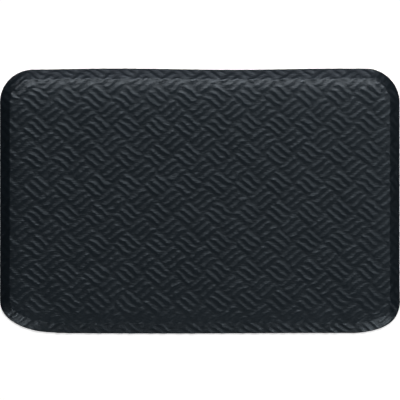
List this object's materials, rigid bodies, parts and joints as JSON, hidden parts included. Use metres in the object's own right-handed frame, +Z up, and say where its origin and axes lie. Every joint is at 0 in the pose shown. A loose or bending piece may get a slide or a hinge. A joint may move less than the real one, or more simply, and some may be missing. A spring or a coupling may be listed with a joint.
{
  "type": "anti-fatigue mat",
  "caption": "Cushioned standing mat with rounded corners, bevelled edge, embossed wrapped cover, foam filling and non-slip base.",
  "frame": {"origin": "on the floor, under the middle of the mat", "axes": "+X to the right along the long side, +Y to the back edge, which has the tighter corners, +Z up"},
  "size_m": [0.76, 0.5, 0.019],
  "materials": {
    "cover_vinyl": "satin",
    "soft_foam": "matte",
    "firm_foam": "matte",
    "adhesive": "satin",
    "base_rubber": "matte"
  },
  "bodies": {
    "root": {"top_cover": "cover_vinyl", "comfort_foam": "soft_foam", "bond_film": "adhesive", "support_core": "firm_foam", "hem_tape": "adhesive", "base_sheet": "base_rubber"}
  },
  "joints": []
}
